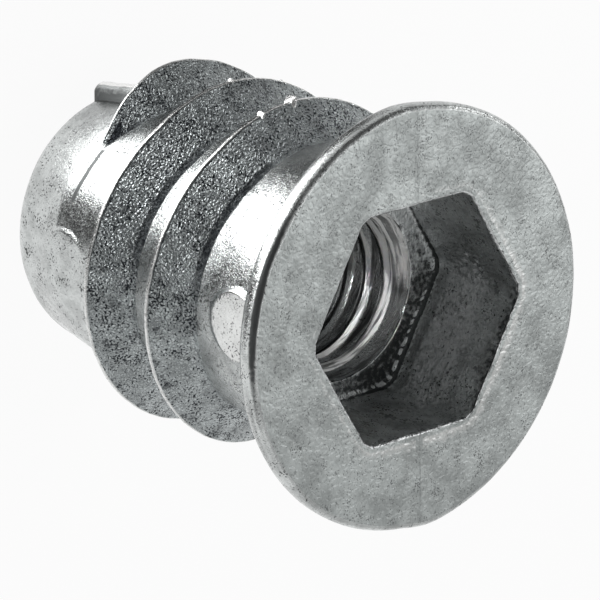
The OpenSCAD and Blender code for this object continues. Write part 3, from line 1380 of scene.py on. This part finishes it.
@dataclass(frozen=True)
class Finish:
    """One finish of the casting: its metal, its grain and its marks.

    Sizes are in millimetres, shares run from 0 to 1, and relief is the height of the bumps.
    """

    name: str
    metal: Triple
    # Colour of stains, specks and pits, and of the painted shade
    stain_and_shade: Triple
    bright: Triple = (0.72, 0.72, 0.71)
    roughness: float = 0.3
    stain_and_shade_roughness: float = 0.5
    bright_roughness: float = 0.2
    bright_metallic: float = 1.0
    grain_size: float = 0.15
    grain_relief: float = 0.02
    pit_share: float = 0.0
    stain_size: float = 0.6
    stain_amount: float = 0.3
    stain_share: float = 0.7
    speck_size: float = 0.12
    speck_amount: float = 0.3
    scratch_size: float = 0.9
    scratch_share: float = 0.0
    edge_break: float = 0.3
    cloud_size: float = 1.2
    cloud_depth: float = 0.2
    gate_side_shade_share: float = 0.0
    smooth_relief: float = 1.0
    turning_size: float = 1.0
    turning_share: float = 0.0
    pins: tuple[PinMark, ...] = ()
    pin_light: float = 0.5
    pin_edge_shade: float = 0.45
    pin_relief: float = 0.5

    def material(self, effects: SkinEffects) -> bpy.types.Material:
        """Makes the finish's material.

        Args:
            effects: the shared node groups.

        Returns:
            The material.
        """
        material = bpy.data.materials.new(self.name)
        material.use_nodes = True
        graph = Graph(material.node_tree)
        place = graph.add("ShaderNodeTexCoord").outputs["Object"]

        def effect(tree: bpy.types.NodeTree, **inputs: float) -> bpy.types.Node:
            """Returns one shared group, placed in this material with its own values."""
            return graph.add("ShaderNodeGroup", {"Vector": place, **inputs}, node_tree=tree)

        def most(one: object, other: object, share: object) -> bpy.types.NodeSocket:
            """Returns the larger of one value and a share of another."""
            return graph.math("MAXIMUM", one, graph.math("MULTIPLY", other, share))

        grain = effect(effects.grain, Size=self.grain_size)
        stain = effect(effects.stain, Size=self.stain_size, Amount=self.stain_amount).outputs[0]
        speck = effect(effects.speckle, Size=self.speck_size, Amount=self.speck_amount).outputs[0]
        scratch = effect(effects.scratch, Size=self.scratch_size).outputs[0]
        wear_and_light = effect(effects.wear_and_light, Break=self.edge_break)
        bright = wear_and_light.outputs["Bright"]
        dark = most(speck, stain, self.stain_share)
        dark = most(dark, grain.outputs["Pits"], self.pit_share)
        light = graph.math("MULTIPLY", scratch, self.scratch_share)
        relief = 1.0
        for pin in self.pins:
            disc = effect(effects.pin, Height=pin.height, Radius=pin.radius).outputs
            light = most(light, disc["Inside"], self.pin_light)
            # A ring of painted shade round the pin mark's edge
            dark = most(dark, disc["Edge"], self.pin_edge_shade)
            flattened = graph.span(disc["Inside"], 0.0, 1.0, 1.0, self.pin_relief)
            relief = graph.math("MULTIPLY", relief, flattened)
        # Grime and painted shade from the mesh's marks
        dark = graph.math("MAXIMUM", dark, wear_and_light.outputs["Grime"])
        # Painted shade on the side of the part that faces the gate
        if self.gate_side_shade_share:
            sides = effect(effects.gate_side_shade).outputs
            dark = most(dark, sides["Mask"], self.gate_side_shade_share)
            hammered = graph.span(sides["Hammered"], 0.0, 1.0, self.smooth_relief, 1.0)
            relief = graph.math("MULTIPLY", relief, hammered)
        if self.turning_share:
            turned = effect(effects.turning, Size=self.turning_size).outputs[0]
            kept = graph.span(turned, 0.0, 1.0, 1.0, 1 - self.turning_share)
            bright = graph.math("MULTIPLY", bright, kept)
            dark = most(dark, turned, self.turning_share)
        rough = graph.span(dark, 0.0, 1.0, self.roughness, self.stain_and_shade_roughness)
        rough = graph.span(bright, 0.0, 1.0, rough, self.bright_roughness)
        metallic = graph.span(bright, 0.0, 1.0, 1.0, self.bright_metallic)
        cloud = effect(effects.cloud, Size=self.cloud_size).outputs[0]
        dimmed = tuple(level * (1 - self.cloud_depth) for level in self.metal)
        lifted = tuple(level * (1 + self.cloud_depth / 2) for level in self.metal)
        colour = graph.mix(cloud, rgba(dimmed), rgba(lifted))
        colour = graph.mix(light, colour, rgba(self.bright))
        colour = graph.mix(dark, colour, rgba(self.stain_and_shade))
        colour = graph.mix(bright, colour, rgba(self.bright))
        bump = graph.add("ShaderNodeBump", {"Height": grain.outputs["Height"], "Strength": relief,
                                            "Distance": self.grain_relief * METRES})
        shader = graph.add("ShaderNodeBsdfPrincipled", {"Base Color": colour, "Roughness": rough,
                                                        "Metallic": metallic, "Normal": bump.outputs[0]})
        graph.put_out(graph.add("ShaderNodeOutputMaterial"), Surface=shader.outputs[0])
        return material


FINISHES = {
    # The plated skin's bright colour serves the crest's wear and highlight and the painted highlights of the
    # beads and the gate stub
    Skin.PLATED: Finish("plated_skin", (0.57, 0.59, 0.585), (0.10, 0.105, 0.105), bright=(0.9, 0.9, 0.89),
                        roughness=0.13, grain_size=0.085, grain_relief=0.005, stain_amount=0.25,
                        speck_size=0.09, speck_amount=0.33, edge_break=0.4, cloud_depth=0.22,
                        gate_side_shade_share=0.3, pins=(NECK_PIN,)),
    Skin.FLANK: Finish("cast_flank", (0.54, 0.575, 0.58), (0.04, 0.045, 0.05), roughness=0.28,
                       grain_size=0.15, grain_relief=0.09, pit_share=0.5, stain_size=0.5,
                       stain_amount=0.4, speck_size=0.09, speck_amount=0.48, edge_break=0.4,
                       cloud_depth=0.25, gate_side_shade_share=0.35, smooth_relief=0.45),
    Skin.FACE: Finish("face_skin", (0.475, 0.503, 0.497), (0.2, 0.21, 0.21), bright=(0.64, 0.65, 0.64),
                      roughness=0.45, bright_roughness=0.35, grain_size=0.3, grain_relief=0.012,
                      stain_size=0.35, stain_amount=0.28, speck_size=0.07, speck_amount=0.33,
                      scratch_share=0.3, edge_break=0.6, cloud_size=1.8, cloud_depth=0.24),
    Skin.SOCKET: Finish("socket_skin", (0.72, 0.74, 0.74), (0.06, 0.065, 0.065), bright=(0.72, 0.735, 0.74),
                        roughness=0.32, bright_roughness=0.5, bright_metallic=0.2, grain_size=0.2,
                        grain_relief=0.016, stain_amount=0.35, speck_size=0.1, speck_amount=0.24,
                        scratch_share=0.6, edge_break=0.9, cloud_depth=0.35),
    # The tapped thread's bright colour is a matt white for its painted highlights
    Skin.TAPPED: Finish("tapped_thread", (0.26, 0.27, 0.27), (0.015, 0.015, 0.015), bright=(1.0, 1.0, 0.99),
                        roughness=0.22, bright_roughness=0.3, bright_metallic=0.0, grain_size=0.15,
                        grain_relief=0.004, stain_amount=0.25, speck_amount=0.15, edge_break=0.2,
                        turning_share=0.7),
}


@dataclass(frozen=True)
class Panel:
    """A soft panel light.

    The middle, the point that it faces and its width and height are in millimetres, its power is
    in watts, and its roll about its own axis and the angle over which it spreads are in degrees.
    """

    name: str
    centre: Triple
    aim: Triple
    size: Pair
    power: float
    roll: float = 0.0
    spread: float = 180.0

    def light(self) -> None:
        """Adds the panel to the scene, where only reflections show it."""
        data = bpy.data.lights.new(self.name, "AREA")
        data.shape = "RECTANGLE"
        data.size, data.size_y = self.size[0] * METRES, self.size[1] * METRES
        data.energy = self.power
        data.spread = math.radians(self.spread)
        lamp = bpy.data.objects.new(self.name, data)
        spot = Vector(self.centre)
        facing = (spot - Vector(self.aim)).to_track_quat("Z", "Y").to_matrix().to_4x4()
        lamp.matrix_world = (Matrix.Translation(spot * METRES) @ facing
                             @ Matrix.Rotation(math.radians(self.roll), 4, "Z"))
        lamp.visible_camera = False
        bpy.context.scene.collection.objects.link(lamp)


@dataclass(frozen=True)
class Card:
    """A soft-edged card over the floor, which only shows in the metal's reflections.

    Its middle, length and width are in millimetres, its turn is in degrees, and its shade runs
    from 0 for black to 1 for white. Its edge begins at a distance from its middle, as a share of
    its size.
    """

    name: str
    centre: Pair
    size: Pair
    turn: float
    shade: float = 0.02
    height: float = 0.4
    edge: float = 0.36

    def lay(self) -> None:
        """Adds the card to the scene."""
        bm = bmesh.new()
        bm.loops.layers.uv.new("UVMap")
        bmesh.ops.create_grid(bm, x_segments=1, y_segments=1, size=0.5, calc_uvs=True)
        bmesh.ops.scale(bm, vec=(*self.size, 1.0), verts=bm.verts)
        bmesh.ops.rotate(bm, matrix=Matrix.Rotation(math.radians(self.turn), 3, "Z"), verts=bm.verts)
        bmesh.ops.translate(bm, vec=(*self.centre, self.height), verts=bm.verts)
        bmesh.ops.scale(bm, vec=(METRES,) * 3, verts=bm.verts)
        card = staged(self.name, bm, self.felt())
        card.visible_camera = card.visible_shadow = card.visible_diffuse = False

    def felt(self) -> bpy.types.Material:
        """Makes the card's matt felt, which thins out to nothing at its edge.

        Returns:
            The material.
        """
        material = bpy.data.materials.new(self.name)
        material.use_nodes = True
        graph = Graph(material.node_tree)
        matt = graph.add("ShaderNodeBsdfDiffuse", {"Color": rgba((self.shade,) * 3)}).outputs[0]
        clear = graph.add("ShaderNodeBsdfTransparent").outputs[0]
        place = graph.add("ShaderNodeTexCoord").outputs["UV"]
        across = graph.add("ShaderNodeSeparateXYZ", {0: place}).outputs
        aside = [graph.math("ABSOLUTE", graph.math("SUBTRACT", across[axis], 0.5)) for axis in ("X", "Y")]
        at_edge = graph.span(graph.math("MAXIMUM", *aside), self.edge, 0.5)
        soft = graph.add("ShaderNodeMixShader", {0: at_edge, 1: matt, 2: clear}).outputs[0]
        graph.put_out(graph.add("ShaderNodeOutputMaterial"), Surface=soft)
        return material


def staged(name: str, bm: bmesh.types.BMesh, material: bpy.types.Material) -> bpy.types.Object:
    """Makes an object of the studio, which is no part of the insert.

    Args:
        name: its name.
        bm: its mesh, in metres, which is freed.
        material: its material.

    Returns:
        The object.
    """
    mesh = bpy.data.meshes.new(name)
    bm.to_mesh(mesh)
    bm.free()
    mesh.materials.append(material)
    item = bpy.data.objects.new(name, mesh)
    bpy.context.scene.collection.objects.link(item)
    return item


PANELS = (
    Panel("low_panel", (19.9, 18.8, 0.3), (19.9, 18.8, 100.0), size=(37.0, 17.0), power=0.014, roll=61.5),
    Panel("high_panel", (5.0, -42.0, 71.0), (0.0, 0.0, 20.7), size=(40.0, 40.0), power=0.0065),
    Panel("spark_panel", (30.0, -60.0, 40.0), (0.0, 0.0, 12.0), size=(14.0, 14.0), power=0.0037),
    Panel("bore_panel", (12.0, 22.6, 110.0), (-0.9, -1.7, 15.0), size=(2.0, 2.0), power=0.00005, spread=3.0),
    Panel("inner_panel", (9.6, 8.0, 0.3), (9.6, 8.0, 100.0), size=(11.0, 9.0), power=0.0014, roll=50.0),
    Panel("side_panel", (-74.0, 35.0, 57.0), (0.0, 0.0, 10.0), size=(70.0, 60.0), power=0.0045),
)

CARDS = (
    Card("near_card", (20.5, -1.8), size=(24.5, 18.8), turn=0.0),
    Card("far_card", (4.6, 22.5), size=(20.0, 16.5), turn=78.0),
    Card("nose_card", (3.2, 10.6), size=(6.0, 7.2), turn=70.0),
    Card("left_card", (-19.5, 16.0), size=(15.0, 11.0), turn=45.0, shade=0.6),
)


@dataclass
class Studio:
    """The floor, the room's light and the camera round the insert."""

    camera_aim: Triple = (0.85, 3.58, 17.29)
    camera_distance: float = 208.5
    camera_azimuth: float = 62.46
    camera_elevation: float = 46.24
    camera_roll: float = 109.81
    lens: float = 300.0
    sensor: float = 36.0
    # Nearest and farthest distance that the camera sees, in metres
    clip: Pair = (0.01, 10.0)
    # Half the floor's side, in metres, and its distance below the insert
    floor_reach: float = 3.0
    floor_gap: float = 0.05
    floor_grey: float = 0.85
    floor_glow: float = 0.94
    # The direction from which the room is pale, and its two greys
    room_way: Triple = (-0.72, -0.26, 0.64)
    room_passage: Pair = (-0.2, 0.9)
    room_dark: float = 0.14
    room_pale: float = 0.60

    def place_camera(self) -> None:
        """Adds the camera and makes it the scene's."""
        turn, lift = math.radians(self.camera_azimuth), math.radians(self.camera_elevation)
        away = Vector((math.cos(turn) * math.cos(lift), math.sin(turn) * math.cos(lift), math.sin(lift)))
        data = bpy.data.cameras.new("camera")
        data.lens = self.lens
        data.sensor_width = self.sensor
        data.clip_start, data.clip_end = self.clip
        camera = bpy.data.objects.new("camera", data)
        spot = (Vector(self.camera_aim) + away * self.camera_distance) * METRES
        level = away.to_track_quat("Z", "Y").to_matrix().to_4x4()
        camera.matrix_world = (Matrix.Translation(spot) @ level
                               @ Matrix.Rotation(math.radians(self.camera_roll), 4, "Z"))
        bpy.context.scene.collection.objects.link(camera)
        bpy.context.scene.camera = camera

    def lay_floor(self) -> None:
        """Lays the plain pale floor, which keeps a soft shadow."""
        bm = bmesh.new()
        bmesh.ops.create_grid(bm, x_segments=1, y_segments=1, size=self.floor_reach)
        bmesh.ops.translate(bm, vec=(0.0, 0.0, -self.floor_gap * METRES), verts=bm.verts)
        material = bpy.data.materials.new("pale_floor")
        material.use_nodes = True
        graph = Graph(material.node_tree)
        path = graph.add("ShaderNodeLightPath").outputs
        seen = graph.math("MAXIMUM", path["Is Camera Ray"], path["Is Glossy Ray"])
        seen = graph.math("MAXIMUM", seen, path["Is Transmission Ray"])
        matt = graph.add("ShaderNodeBsdfDiffuse", {"Color": rgba((self.floor_grey,) * 3)}).outputs[0]
        glow = graph.add("ShaderNodeEmission", {"Color": rgba((1.0, 1.0, 1.0)), "Strength": 1.0}).outputs[0]
        share = graph.math("MULTIPLY", seen, self.floor_glow)
        shown = graph.add("ShaderNodeMixShader", {0: share, 1: matt, 2: glow}).outputs[0]
        graph.put_out(graph.add("ShaderNodeOutputMaterial"), Surface=shown)
        staged("floor", bm, material)

    def fill_world(self) -> None:
        """Gives the room its plain light, brighter on the side away from the camera."""
        world = bpy.data.worlds.new("room")
        bpy.context.scene.world = world
        world.use_nodes = True
        graph = Graph(world.node_tree)
        way = graph.add("ShaderNodeTexCoord").outputs["Generated"]
        across = graph.vector("DOT_PRODUCT", one=way, other=self.room_way).outputs["Value"]
        room = graph.mix(graph.span(across, *self.room_passage), rgba((self.room_dark,) * 3),
                         rgba((self.room_pale,) * 3))
        seen = graph.add("ShaderNodeLightPath").outputs["Is Camera Ray"]
        colour = graph.mix(seen, room, rgba((1.0, 1.0, 1.0)))
        background = graph.add("ShaderNodeBackground", {"Color": colour, "Strength": 1.0})
        graph.put_out(graph.add("ShaderNodeOutputWorld"), Surface=background.outputs[0])

    def build(self) -> None:
        """Sets up the whole studio."""
        bpy.context.scene.view_settings.view_transform = "Standard"
        self.place_camera()
        self.lay_floor()
        self.fill_world()
        for panel in PANELS:
            panel.light()
        for card in CARDS:
            card.lay()
        log.info("studio: %d panels, %d cards", len(PANELS), len(CARDS))


def main() -> None:
    """Builds the insert and its studio."""
    logging.basicConfig(level=logging.INFO, format="%(name)s: %(message)s")
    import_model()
    casting = Casting()
    piece = casting.make_piece(SkinEffects())
    log.info("%s: %d faces", piece.name, len(piece.data.polygons))
    Studio().build()


if __name__ == "__main__":
    main()
